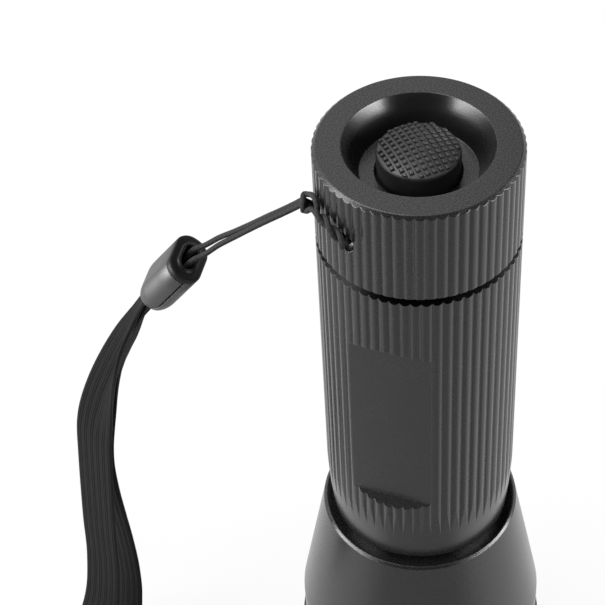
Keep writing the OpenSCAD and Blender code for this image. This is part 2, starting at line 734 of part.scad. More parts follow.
// Flat strap: it leaves the ferrule gathered and edge to the side, then spreads and turns along its legs
module wrist_strap() color("#262627") {
    last = len(strap_route) - 1;
    points = [for (i = [0 : last]) let (
        s = min(min(i, last - i) / strap_spread, 1),
        ease = s * s * (3 - 2 * s),
        a = strap_turn[0] + (strap_turn[1] - strap_turn[0]) * ease,
        width = strap_gathered_w + (strap_w - strap_gathered_w) * ease
    ) each ring_at(strap_route[i], tangent(strap_route, i), [cos(a), sin(a), 0], strap_section(width))];
    polyhedron(points = points, faces = sweep_faces(last + 1, len(strap_section(strap_w))));
}

head_shell();
bezel_ring();
lens_gasket();
focus_lens();
body_tube();
focus_seal();
stop_ring();
led_pill();
led_board();
led_emitter();
led_wires();
driver_board();
driver_spring();
carrier_frame();
battery_cells();
carrier_contacts();
tail_spring();
tail_cap();
cap_seal();
boot_rim();
switch_housing();
switch_board();
retaining_ring();
button_boot();
switch_plunger();
lanyard_tether();
lanyard_knot();
lanyard_cord();
strap_ferrule();
ferrule_plug();
wrist_strap();
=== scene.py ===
"""Looks of a pocket torch: ribbed barrel, screw-off tail cap with a rubber button, wrist strap on a cord.

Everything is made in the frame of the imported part: the torch stands on its bezel, +Z runs up its axis to
the tail, and the viewer stands at -Y. Lengths are in metres, apart from those of the ferrule and the boot,
the camera's place and the tables that end in _mm, which are in millimetres.
"""

import json
import logging
import math
from collections.abc import Sequence
from dataclasses import dataclass
from enum import Enum

import bmesh
import bpy
from mathutils import Matrix, Vector

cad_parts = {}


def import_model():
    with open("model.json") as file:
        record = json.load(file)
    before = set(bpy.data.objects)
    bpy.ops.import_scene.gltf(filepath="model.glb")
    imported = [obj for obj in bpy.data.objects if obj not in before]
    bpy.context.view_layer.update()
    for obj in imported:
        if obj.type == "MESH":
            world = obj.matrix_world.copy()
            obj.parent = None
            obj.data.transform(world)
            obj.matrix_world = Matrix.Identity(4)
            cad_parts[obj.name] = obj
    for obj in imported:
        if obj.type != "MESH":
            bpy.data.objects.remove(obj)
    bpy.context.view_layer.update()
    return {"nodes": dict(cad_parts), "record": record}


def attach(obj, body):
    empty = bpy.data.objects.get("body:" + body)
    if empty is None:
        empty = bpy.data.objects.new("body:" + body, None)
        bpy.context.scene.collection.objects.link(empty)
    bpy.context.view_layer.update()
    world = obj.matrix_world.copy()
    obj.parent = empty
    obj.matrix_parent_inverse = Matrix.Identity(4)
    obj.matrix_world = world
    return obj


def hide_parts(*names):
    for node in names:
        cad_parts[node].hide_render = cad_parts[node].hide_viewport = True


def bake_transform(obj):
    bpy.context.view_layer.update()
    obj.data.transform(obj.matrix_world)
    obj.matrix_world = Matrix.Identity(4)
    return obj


LOG = logging.getLogger("torch")
MM = 0.001
TURN = 2.0 * math.pi
WELD = 1e-7
UV_NAME = "route"
Pair = tuple[float, float]
Triple = tuple[float, float, float]
RGB = Triple
Points = tuple[Triple, ...]
Outline = list[Pair]
Vectors = Sequence[Vector]
Rings = Sequence[Sequence[int]]
Floats = Sequence[float]
Piece = bpy.types.Object


class Body(Enum):
    """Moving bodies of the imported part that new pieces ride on."""

    TAIL_CAP = "tail_cap"
    BUTTON = "button"


class Slot(Enum):
    """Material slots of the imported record."""

    SHELL = "anodised_shell"
    SEAL = "seal_rubber"
    BOOT = "boot_rubber"
    LENS = "lens_glass"
    STEEL = "plain_steel"
    PILL = "pill_brass"
    CONTACT = "contact_brass"
    STAR = "board_aluminium"
    EMITTER = "emitter_plastic"
    LEAD = "wire_plastic"
    BOARD = "board_green"
    PLASTIC = "black_plastic"
    CELL = "cell_jacket"
    PLUNGER = "plunger_plastic"
    CORD = "lanyard_cord"
    FERRULE = "ferrule_metal"
    WEBBING = "strap_webbing"


class Wire:
    """A socket in a node tree, with Python's operators for maths on its value."""

    def __init__(self, graph: "Graph", socket: bpy.types.NodeSocket | None) -> None:
        """Keeps the socket and the graph that it belongs to."""
        self.graph = graph
        self.socket = socket

    def math(self, operation: str, *others: "Wire | float") -> "Wire":
        """Adds one Math node that starts from this value.

        Args:
            operation: Blender's name of the operation.
            others: the values or links of its further sockets, in order.

        Returns:
            The node's value.
        """
        return self.graph.add("ShaderNodeMath", {"operation": operation}, dict(enumerate((self, *others))))

    def __add__(self, other: "Wire | float") -> "Wire":
        """Sum."""
        return self.math("ADD", other)

    def __sub__(self, other: "Wire | float") -> "Wire":
        """Difference."""
        return self.math("SUBTRACT", other)

    def __rsub__(self, other: float) -> "Wire":
        """Difference from a number on the left."""
        return self.math("MULTIPLY_ADD", -1.0, other)

    def __mul__(self, other: "Wire | float") -> "Wire":
        """Product."""
        return self.math("MULTIPLY", other)

    __radd__ = __add__
    __rmul__ = __mul__

    def sin(self) -> "Wire":
        """Sine of an angle in radians."""
        return self.math("SINE")

    def abs(self) -> "Wire":
        """Value without its sign."""
        return self.math("ABSOLUTE")

    def floor(self) -> "Wire":
        """Next lower whole number."""
        return self.math("FLOOR")

    def eased(self, low: float, high: float) -> "Wire":
        """Share of the way from low to high, kept between 0 and 1."""
        settings = {"interpolation_type": "SMOOTHSTEP"}
        sockets: Sockets = {"Value": self, "From Min": low, "From Max": high}
        return self.graph.add("ShaderNodeMapRange", settings, sockets)


Sockets = dict[int | str, Wire | float | tuple]


class Graph:
    """A node tree under construction."""

    def __init__(self, tree: bpy.types.NodeTree) -> None:
        """Starts from an empty tree."""
        self.tree = tree
        tree.nodes.clear()

    def add(
        self,
        kind: str,
        settings: dict[str, object] | None = None,
        sockets: Sockets | None = None,
        output: int | str = 0,
    ) -> Wire:
        """Adds one node.

        Args:
            kind: Blender's name of the node's type.
            settings: its properties, set before its sockets.
            sockets: values or links of its sockets, by name or place.
            output: the output that the result stands for, if the node has any.

        Returns:
            The chosen output.
        """
        node = self.tree.nodes.new(kind)
        for name, value in (settings or {}).items():
            setattr(node, name, value)
        for key, value in (sockets or {}).items():
            if isinstance(value, Wire):
                self.tree.links.new(value.socket, node.inputs[key])
            else:
                node.inputs[key].default_value = value
        return Wire(self, node.outputs[output] if node.outputs else None)

    def place(self) -> Wire:
        """Position on the piece, in metres."""
        return self.add("ShaderNodeTexCoord", output="Object")

    def part(self, vector: Wire, axis: int) -> Wire:
        """One of a vector's three numbers."""
        return self.add("ShaderNodeSeparateXYZ", None, {0: vector}, output=axis)

    def coordinate(self, axis: int) -> Wire:
        """Position on the piece along one axis, in metres."""
        return self.part(self.place(), axis)

    def across_and_along(self) -> tuple[Wire, Wire]:
        """Places across and along a strip or a tube, from the piece's own texture map."""
        uv = self.add("ShaderNodeUVMap", {"uv_map": UV_NAME})
        return self.part(uv, 0), self.part(uv, 1)

    def noise(self, size: float, detail: float = 2.0, stretch: Triple = (1.0, 1.0, 1.0)) -> Wire:
        """Cloudy variation around one half.

        Args:
            size: width of its patches.
            detail: number of finer layers.
            stretch: factors on the position along each axis.

        Returns:
            The variation.
        """
        at = self.add("ShaderNodeMapping", None, {"Vector": self.place(), "Scale": stretch})
        return self.add("ShaderNodeTexNoise", None, {"Vector": at, "Scale": 1.0 / size, "Detail": detail})

    def tint(self, share: Wire, low: RGB | Wire, high: RGB | Wire) -> Wire:
        """Colour between two others."""
        ends = [end if isinstance(end, Wire) else (*end, 1.0) for end in (low, high)]
        return self.add("ShaderNodeMix", {"data_type": "RGBA"}, {0: share, 6: ends[0], 7: ends[1]}, output=2)

    def rounded_edges(self, radius: float) -> Wire:
        """Normal that turns smoothly over sharp edges."""
        return self.add("ShaderNodeBevel", {"samples": 6}, {"Radius": radius})

    def edge_share(self, radius: float) -> Wire:
        """Share that is 0 on open faces and grows towards sharp edges."""
        flat = self.add("ShaderNodeNewGeometry", output="Normal")
        sockets = {0: self.rounded_edges(radius), 1: flat}
        turned = self.add("ShaderNodeVectorMath", {"operation": "DOT_PRODUCT"}, sockets, output="Value")
        return (1.0 - turned).eased(0.02, 0.3)

    def end_share(self, low: float, high: float) -> Wire:
        """Share that grows between two slopes, from 0 on the torch's sides to 1 on its end faces."""
        normal = self.add("ShaderNodeTexCoord", output="Normal")
        return self.part(normal, 2).abs().eased(low, high)

    def bump(self, height: Wire, depth: float, normal: Wire | None = None) -> Wire:
        """Relief of a height that runs from 0 to 1.

        Args:
            height: the relief.
            depth: metres between its lowest and highest places.
            normal: the normal that it starts from.

        Returns:
            The new normal.
        """
        sockets: Sockets = {"Height": height, "Distance": depth}
        if normal is not None:
            sockets["Normal"] = normal
        return self.add("ShaderNodeBump", None, sockets)

    def matt(self, level: float) -> Wire:
        """Shader of a dull grey surface."""
        return self.add("ShaderNodeBsdfDiffuse", None, {"Color": (level, level, level, 1.0)})

    def show(self, shader: Wire) -> None:
        """Makes a shader the material's surface."""
        self.add("ShaderNodeOutputMaterial", None, {"Surface": shader})


def new_material(name: str) -> tuple[bpy.types.Material, Graph]:
    """Makes an empty material and the graph for its nodes."""
    made = bpy.data.materials.new(name)
    made.use_nodes = True
    return made, Graph(made.node_tree)


@dataclass(frozen=True)
class Finish:
    """A surface, with the record's slot that it belongs to."""

    slot: Slot
    colour: RGB
    roughness: float

    def sockets(self, graph: Graph) -> Sockets:
        """Inputs of the surface's shader."""
        raise NotImplementedError

    def material(self) -> bpy.types.Material:
        """Makes the finish's material, or finds it if it was made before."""
        name = f"finish_{self.slot.value}"
        made = bpy.data.materials.get(name)
        if made is None:
            made, graph = new_material(name)
            graph.show(graph.add("ShaderNodeBsdfPrincipled", None, self.sockets(graph)))
        return made

    def shade(self, factor: float) -> RGB:
        """The finish's colour, lighter or darker by a factor."""
        red, green, blue = self.colour
        return (min(1.0, red * factor), min(1.0, green * factor), min(1.0, blue * factor))

    def mottled(self, pattern: Wire, low: float, high: float) -> Wire:
        """The finish's colour, which a pattern changes from one factor to another."""
        return pattern.graph.tint(pattern, self.shade(low), self.shade(high))

    def uneven(self, *parts: tuple[float, Wire]) -> Wire:
        """The finish's roughness, changed by amounts of patterns that lie around one half."""
        made: Wire | float = self.roughness
        for amount, pattern in parts:
            made = made + amount * (pattern - 0.5)
        return made

    def dress(self, piece: Piece) -> None:
        """Gives a piece this finish."""
        piece.data.materials.clear()
        piece.data.materials.append(self.material())


@dataclass(frozen=True)
class Anodised(Finish):
    """Dyed aluminium: a satin sheen, paler edges, blasted end faces and painted shade in the seam."""

    grain: float = 0.2 * MM
    cloud: float = 11 * MM
    relief: float = 0.012 * MM
    edge: float = 0.2 * MM
    edge_wear: float = 0.25
    worn_shade: float = 2.4
    side_grain: float = 0.25
    blasted_slopes: Pair = (0.6, 0.95)
    # Painted shade in the seam under the tail cap: its height, its reach, the slopes that it covers and the
    # factor on the colour there.
    seam: float = 100.1 * MM
    seam_reach: float = 0.6 * MM
    seam_slopes: Pair = (0.4, 0.6)
    seam_painted_shade: float = 0.04

    def sockets(self, graph: Graph) -> Sockets:
        """Inputs of the surface's shader."""
        blasted = self.side_grain + (1.0 - self.side_grain) * graph.end_share(*self.blasted_slopes)
        fine = 0.5 + blasted * (graph.noise(self.grain, detail=3.0) - 0.5)
        cloud = graph.noise(self.cloud)
        # Painted shade: sloped faces within reach of the seam's height turn near-black, standing in for the
        # shadow in the gap under the tail cap.
        in_seam = graph.coordinate(2).math("COMPARE", self.seam, self.seam_reach)
        seam_shadow_share = graph.end_share(*self.seam_slopes) * in_seam
        before_seam_shade = self.mottled(fine.eased(0.25, 0.75), low=0.45, high=1.6)
        body = graph.tint(seam_shadow_share, before_seam_shade, self.shade(self.seam_painted_shade))
        worn = self.edge_wear * graph.edge_share(self.edge)
        return {
            "Base Color": graph.tint(worn, body, self.shade(self.worn_shade)),
            "Metallic": 0.8,
            "Roughness": self.uneven((0.3, fine), (0.08, cloud)),
            "Normal": graph.bump(fine, self.relief, graph.rounded_edges(self.edge)),
        }


@dataclass(frozen=True)
class SatinMetal(Finish):
    """Bare or plated metal with faint marks drawn along one axis."""

    mark: float = 0.3 * MM
    drawn: Triple = (1.0, 1.0, 0.12)
    cloud: float = 5 * MM
    relief: float = 0.002 * MM
    edge: float = 0.08 * MM

    def sockets(self, graph: Graph) -> Sockets:
        """Inputs of the surface's shader."""
        marks = graph.noise(self.mark, detail=3.0, stretch=self.drawn)
        cloud = graph.noise(self.cloud)
        return {
            "Base Color": self.mottled(cloud, low=0.85, high=1.12),
            "Metallic": 1.0,
            "Roughness": self.uneven((0.12, marks), (0.12, cloud)),
            "Normal": graph.bump(marks, self.relief, graph.rounded_edges(self.edge)),
        }


@dataclass(frozen=True)
class Moulded(Finish):
    """Moulded plastic with a light spark-eroded grain."""

    grain: float = 0.18 * MM
    cloud: float = 6 * MM
    relief: float = 0.004 * MM

    def sockets(self, graph: Graph) -> Sockets:
        """Inputs of the surface's shader."""
        fine = graph.noise(self.grain)
        cloud = graph.noise(self.cloud)
        return {
            "Base Color": self.mottled(cloud, low=0.85, high=1.15),
            "Roughness": self.uneven((0.1, fine), (0.08, cloud)),
            "Normal": graph.bump(fine, self.relief),
            "Specular IOR Level": 0.3,
        }


@dataclass(frozen=True)
class Rubber(Finish):
    """Soft rubber: dull, with a faint bloom of dust in patches."""

    grain: float = 0.12 * MM
    patch: float = 2.5 * MM
    relief: float = 0.005 * MM
    bloom: float = 0.25

    def sockets(self, graph: Graph) -> Sockets:
        """Inputs of the surface's shader."""
        fine = graph.noise(self.grain, detail=3.0)
        patches = graph.noise(self.patch, detail=3.0)
        dust = self.bloom * patches.eased(0.42, 0.75)
        return {
            "Base Color": self.mottled(dust, low=1.0, high=2.4),
            "Roughness": self.uneven((0.15, patches)),
            "Normal": graph.bump(fine, self.relief),
            "Specular IOR Level": 0.45,
        }


@dataclass(frozen=True)
class ClearLens(Finish):
    """Clear moulded lens with a trace of smears."""

    smear: float = 4 * MM

    def sockets(self, graph: Graph) -> Sockets:
        """Inputs of the surface's shader."""
        smears = graph.noise(self.smear, detail=3.0)
        return {
            "Base Color": self.mottled(smears, low=0.96, high=1.0),
            "Roughness": self.roughness + 0.04 * smears.eased(0.4, 0.8),
            "IOR": 1.49,
            "Transmission Weight": 1.0,
        }


@dataclass(frozen=True)
class Braid(Finish):
    """Round braided cord: two sets of fine strands that cross at a slant."""

    strands: int = 4
    lay: float = 1.5 * MM
    fuzz: float = 0.15 * MM
    relief: float = 0.07 * MM

    def sockets(self, graph: Graph) -> Sockets:
        """Inputs of the surface's shader."""
        around, along = graph.across_and_along()
        right = (TURN * self.strands * around + (TURN / self.lay) * along).sin()
        left = (TURN * self.strands * around - (TURN / self.lay) * along).sin()
        braid = 0.5 + 0.5 * right * left
        fuzz = graph.noise(self.fuzz, detail=3.0)
        height = 0.75 * braid + 0.25 * fuzz
        return {
            "Base Color": self.mottled(height, low=0.55, high=1.5),
            "Roughness": self.uneven((0.15, fuzz)),
            "Normal": graph.bump(height, self.relief),
            "Specular IOR Level": 0.3,
        }


@dataclass(frozen=True)
class Webbing(Finish):
    """Flat woven strap: lengthwise cords bound by a fine weft."""

    cord_pitch: float = 0.44 * MM
    weft_pitch: float = 0.52 * MM
    fuzz: float = 0.2 * MM
    wear: float = 7 * MM
    relief: float = 0.09 * MM

    def sockets(self, graph: Graph) -> Sockets:
        """Inputs of the surface's shader."""
        across, along = graph.across_and_along()
        column = across * (1.0 / self.cord_pitch)
        ridge = (math.pi * column).sin().abs()
        stagger = math.pi * column.floor()
        pick = 0.5 + 0.5 * ((TURN / self.weft_pitch) * along + stagger).sin()
        fuzz = graph.noise(self.fuzz, detail=3.0)
        wear = graph.noise(self.wear)
        height = 0.5 * ridge + 0.3 * pick * ridge + 0.2 * fuzz
        return {
            "Base Color": self.mottled(height, low=0.5, high=1.45),
            "Roughness": self.uneven((0.14, wear)),
            "Normal": graph.bump(height, self.relief),
            "Specular IOR Level": 0.15,
        }


SHELL = Anodised(Slot.SHELL, (0.064, 0.0632, 0.064), 0.26)
SEAL = Rubber(Slot.SEAL, (0.02, 0.02, 0.02), 0.55)
BOOT = Rubber(Slot.BOOT, (0.029, 0.029, 0.0296), 0.38)
LENS = ClearLens(Slot.LENS, (0.97, 0.98, 0.99), 0.02)
STEEL = SatinMetal(Slot.STEEL, (0.55, 0.55, 0.56), 0.32)
PILL = SatinMetal(Slot.PILL, (0.7, 0.55, 0.28), 0.35)
CONTACT = SatinMetal(Slot.CONTACT, (0.75, 0.62, 0.35), 0.28)
STAR = SatinMetal(Slot.STAR, (0.8, 0.8, 0.78), 0.5)
EMITTER = Moulded(Slot.EMITTER, (0.9, 0.75, 0.2), 0.25)
LEAD = Moulded(Slot.LEAD, (0.5, 0.06, 0.05), 0.4)
BOARD = Moulded(Slot.BOARD, (0.04, 0.18, 0.07), 0.4)
PLASTIC = Moulded(Slot.PLASTIC, (0.006, 0.006, 0.0063), 0.4)
CELL = SatinMetal(Slot.CELL, (0.12, 0.17, 0.27), 0.4)
PLUNGER = Moulded(Slot.PLUNGER, (0.6, 0.57, 0.48), 0.45)
CORD = Braid(Slot.CORD, (0.022, 0.022, 0.022), 0.7)
FERRULE = SatinMetal(Slot.FERRULE, (0.128, 0.126, 0.128), 0.46)
WEBBING = Webbing(Slot.WEBBING, (0.008, 0.008, 0.008), 0.7)
FINISHES = (
    SHELL, SEAL, BOOT, LENS, STEEL, PILL, CONTACT, STAR, EMITTER,
    LEAD, BOARD, PLASTIC, CELL, PLUNGER, CORD, FERRULE, WEBBING,
)


def metres(points: Sequence[Triple]) -> list[Vector]:
    """Points given in millimetres, as vectors in metres."""
    return [Vector(p) * MM for p in points]


def round_angles(count: int) -> list[float]:
    """Angles of evenly spaced points on a circle, in radians."""
    return [TURN * k / count for k in range(count)]


def eased(value: float, low: float, high: float) -> float:
    """Share of the way from low to high, kept between 0 and 1 and smooth at both ends."""
    share = min(max((value - low) / (high - low), 0.0), 1.0)
    return share * share * (3.0 - 2.0 * share)


def smooth_route(points: Vectors, step: float) -> list[Vector]:
    """Runs one smooth curve through the given points.

    Args:
        points: the points that the curve passes.
        step: distance between the points of the result, about.

    Returns:
        Points on the curve, from the first given one to the last.
    """
    ends = [2.0 * points[0] - points[1], *points, 2.0 * points[-1] - points[-2]]
    made: list[Vector] = []
    for i in range(1, len(ends) - 2):
        a, b, c, d = ends[i - 1 : i + 3]
        count = max(1, round((c - b).length / step))
        for k in range(count):
            s = k / count
            made.append(0.5 * (2.0 * b + (c - a) * s + (2.0 * a - 5.0 * b + 4.0 * c - d) * s**2
                               + (3.0 * b - a - 3.0 * c + d) * s**3))
    made.append(points[-1].copy())
    return made


def distances(points: Vectors) -> list[float]:
    """Distance of each point along a route."""
    made = [0.0]
    for a, b in zip(points, points[1:]):
        made.append(made[-1] + (b - a).length)
    return made


def tangents(points: Vectors) -> list[Vector]:
    """Direction of a route at each of its points."""
    last = len(points) - 1
    return [(points[min(i + 1, last)] - points[max(i - 1, 0)]).normalized() for i in range(last + 1)]


def carried_frames(points: Vectors) -> list[tuple[Vector, Vector]]:
    """Two directions square to a route at each of its points, carried along it without a twist."""
    made: list[tuple[Vector, Vector]] = []
    side = Vector((0.0, 1.0, 0.0))
    for heading in tangents(points):
        side = (side - side.dot(heading) * heading).normalized()
        made.append((side, heading.cross(side)))
    return made


def rounded_outline(
    size: Pair, corner: float, count: int, gap: float = 0.0, start: float = 0.0
) -> list[Vector]:
    """Rounded rectangle, counted from near the middle of its corner at +X and -Y.

    Args:
        size: its width along X and Y.
        corner: radius of its corners.
        count: number of points.
        gap: length left open at the start; 0 makes the outline close.
        start: distance along the outline from that corner to the start.

    Returns:
        The points, at Z = 0, counterclockwise.
    """
    hx, hy = size[0] / 2 - corner, size[1] / 2 - corner
    arc = corner * math.pi / 2
    runs = (
        (hx, hy, 0.0, 2 * hy), (-hx, hy, 90.0, 2 * hx),
        (-hx, -hy, 180.0, 2 * hy), (hx, -hy, 270.0, 2 * hx),
    )
    total = 4 * arc + 4 * (hx + hy)
    steps = count - 1 if gap else count

    def at(distance: float) -> Vector:
        """Point at a distance along the outline."""
        rest = (distance + arc / 2) % total
        for k, (_, _, _, straight) in enumerate(runs):
            cx, cy, begin, _ = runs[k - 1]
            if rest <= arc:
                a = math.radians(begin + 90.0 * rest / arc)
                return Vector((cx + corner * math.cos(a), cy + corner * math.sin(a), 0.0))
            rest -= arc
            if rest <= straight:
                a = math.radians(begin + 90.0)
                heading = Vector((-math.sin(a), math.cos(a), 0.0))
                return Vector((cx + corner * math.cos(a), cy + corner * math.sin(a), 0.0)) + rest * heading
            rest -= straight
        return Vector((hx + corner, -hy, 0.0))

    return [at(start + gap / 2 + k * (total - gap) / steps) for k in range(count)]


class Shape:
    """Vertices, faces and texture places of one piece, gathered before Blender makes its mesh."""

    def __init__(self) -> None:
        """Starts with nothing."""
        self.points: list[Vector] = []
        self.faces: list[tuple[int, ...]] = []
        self.places: list[list[Pair]] = []

    def ring(self, points: Vectors) -> list[int]:
        """Adds some points and returns their numbers."""
        first = len(self.points)
        self.points.extend(points)
        return list(range(first, len(self.points)))

    def face(self, corners: Sequence[int], places: Sequence[Pair] | None = None) -> None:
        """Adds one face, with texture places if it has any."""
        self.faces.append(tuple(corners))
        self.places.append(list(places) if places else [(0.0, 0.0)] * len(corners))

    def skin(self, rings: Rings, across: Floats | None = None, along: Floats | None = None) -> None:
        """Covers closed rings, one after the other, with quads.

        Args:
            rings: the rings' point numbers.
            across: texture places round a ring, one more than it has points.
            along: texture places of the rings.
        """
        count = len(rings[0])
        wide = across or [k / count for k in range(count + 1)]
        long = along or [float(i) for i in range(len(rings))]
        for i in range(len(rings) - 1):
            low, high = long[i], long[i + 1]
            for k in range(count):
                n = (k + 1) % count
                left, right = wide[k], wide[k + 1]
                corners = (rings[i][k], rings[i][n], rings[i + 1][n], rings[i + 1][k])
                self.face(corners, ((left, low), (right, low), (right, high), (left, high)))

    def fan(self, ring: Sequence[int], centre: Vector) -> None:
        """Closes a ring with triangles round one point."""
        (hub,) = self.ring([centre])
        for k, corner in enumerate(ring):
            self.face((corner, ring[(k + 1) % len(ring)], hub))

    def sweep(self, rings: Rings, route: Vectors, across: Floats | None = None) -> None:
        """Covers rings whose middles follow a route, and closes both ends."""
        self.skin(rings, across, distances(route))
        for end in (0, -1):
            self.fan(rings[end], route[end])

    def turned(self, profile: Outline, steps: int) -> None:
        """Turns an outline of radius and height round the Z axis, with points on the axis as poles."""
        angles = round_angles(steps)
        rings: list[list[int]] = []
        for radius, height in profile:
            if radius == 0.0:
                self.fan(rings[-1], Vector((0.0, 0.0, height)))
                self.skin(rings)
                rings = []
                continue
            circle = [Vector((radius * math.cos(a), radius * math.sin(a), height)) for a in angles]
            rings.append(self.ring(circle))
        if len(rings) > 1:
            self.skin(rings)

    def piece(self, name: str, sharp: float = 40.0) -> Piece:
        """Makes the mesh and its object.

        Args:
            name: the piece's name.
            sharp: edges that turn by more than this many degrees stay sharp.

        Returns:
            The object, in the scene.
        """
        mesh = bpy.data.meshes.new(name)
        mesh.from_pydata([tuple(p) for p in self.points], [], self.faces)
        layer = mesh.uv_layers.new(name=UV_NAME)
        spots = [spot for places in self.places for spot in places]
        for loop, spot in zip(layer.data, spots):
            loop.uv = spot
        work = bmesh.new()
        work.from_mesh(mesh)
        bmesh.ops.remove_doubles(work, verts=work.verts, dist=WELD)
        bmesh.ops.recalc_face_normals(work, faces=work.faces)
        work.to_mesh(mesh)
        work.free()
        mesh.shade_smooth()
        mesh.set_sharp_from_angle(angle=math.radians(sharp))
        made = bpy.data.objects.new(name, mesh)
        bpy.context.scene.collection.objects.link(made)
        return made


@dataclass
class Ferrule:
    """Metal sleeve that joins the cord to the strap, with its black end plug, in millimetres."""

    end: Triple = (-40.36, 1.28, 85.92)
    tilt: float = 36.2
    turn: float = -11.9
    size: Pair = (5.6, 8.6)
    corner: float = 2.6
    length: float = 10.5
    wall: float = 0.7
    flange: float = 1.0
    seam: float = 0.4
    seam_at: float = -1.3
    strap_slot: Pair = (2.4, 6.2)
    strap_slot_corner: float = 0.6
    strap_slot_depth: float = 1.2
    cord_slot: Pair = (2.2, 4.4)
    cord_slot_depth: float = 2.0
    plug_depth: float = 4.0
    plug_play: float = 0.05
    points: int = 96
    drawn_in: tuple[Pair, ...] = (
        (0.0, 0.9), (0.08, 0.76), (0.3, 0.58), (0.8, 0.36), (1.4, 0.17),
        (2.1, 0.05), (2.8, 0.0), (4.6, 0.0), (6.8, 0.0),
    )

    def placed(self, points: Vectors, height: float) -> list[Vector]:
        """Moves points from the ferrule's own frame, in millimetres, to the part's, in metres."""
        lean = Matrix.Rotation(math.radians(self.tilt), 3, "Y")
        turn = Matrix.Rotation(math.radians(self.turn), 3, "Z") @ lean
        lift = Vector((0.0, 0.0, height))
        return [(turn @ (p + lift) + Vector(self.end)) * MM for p in points]

    def inset_outline(self, inset: float, gap: float = 0.0) -> list[Vector]:
        """Outline of the sleeve, drawn in by an inset."""
        size = (self.size[0] - 2 * inset, self.size[1] - 2 * inset)
        return rounded_outline(size, self.corner - inset, self.points, gap, self.seam_at)

    def slot_outline(self, spread: float) -> list[Vector]:
        """Outline of the plug's slot, let out by a spread."""
        wide, tall = self.cord_slot
        return rounded_outline((wide + 2 * spread, tall + 2 * spread), wide / 2 + spread, self.points)

    def shell(self) -> Piece:
        """Sleeve of rolled sheet with an open seam, drawn in at the strap's end."""
        top = self.length - self.flange
        mouth = rounded_outline(self.strap_slot, self.strap_slot_corner, self.points, self.seam, self.seam_at)
        bore = self.inset_outline(self.wall, self.seam)
        shape = Shape()
        rings: list[list[int]] = []
        for height, inset in (*self.drawn_in, (top - 0.2, 0.0), (top - 0.06, 0.05)):
            outer = self.inset_outline(inset, self.seam)
            inner = mouth if height < self.strap_slot_depth else bore
            rings.append(shape.ring(self.placed([*outer, *reversed(inner)], height)))
        shape.skin(rings)
        for ring in (rings[0], rings[-1]):
            for k in range(self.points - 1):
                far = len(ring) - 1 - k
                shape.face((ring[k], ring[k + 1], ring[far - 1], ring[far]))
        return shape.piece("ferrule_shell", sharp=45.0)

    def plug(self) -> Piece:
        """Black plug with a raised oval lip round the cord's slot."""
        face = self.length
        foot = face - self.flange
        fit = self.wall + self.plug_play
        low, floor = foot - self.plug_depth, foot - self.cord_slot_depth
        insets = (
            (low, fit), (foot + 0.01, fit), (foot + 0.02, 0.06), (foot + 0.1, 0.0), (face - 0.32, 0.0),
            (face - 0.12, 0.1), (face - 0.02, 0.3), (face, 0.55),
        )
        spreads = (
            (face, 0.66), (face + 0.06, 0.56), (face + 0.2, 0.48), (face + 0.27, 0.36), (face + 0.27, 0.2),
            (face + 0.2, 0.07), (face + 0.05, 0.0), (floor, 0.0),
        )
        outlines = [(height, self.inset_outline(inset)) for height, inset in insets]
        outlines += [(height, self.slot_outline(spread)) for height, spread in spreads]
        shape = Shape()
        rings = [shape.ring(self.placed(outline, height)) for height, outline in outlines]
        shape.skin(rings)
        for ring, height in ((rings[0], low), (rings[-1], floor)):
            shape.fan(ring, self.placed([Vector()], height)[0])
        return shape.piece("ferrule_insert", sharp=35.0)


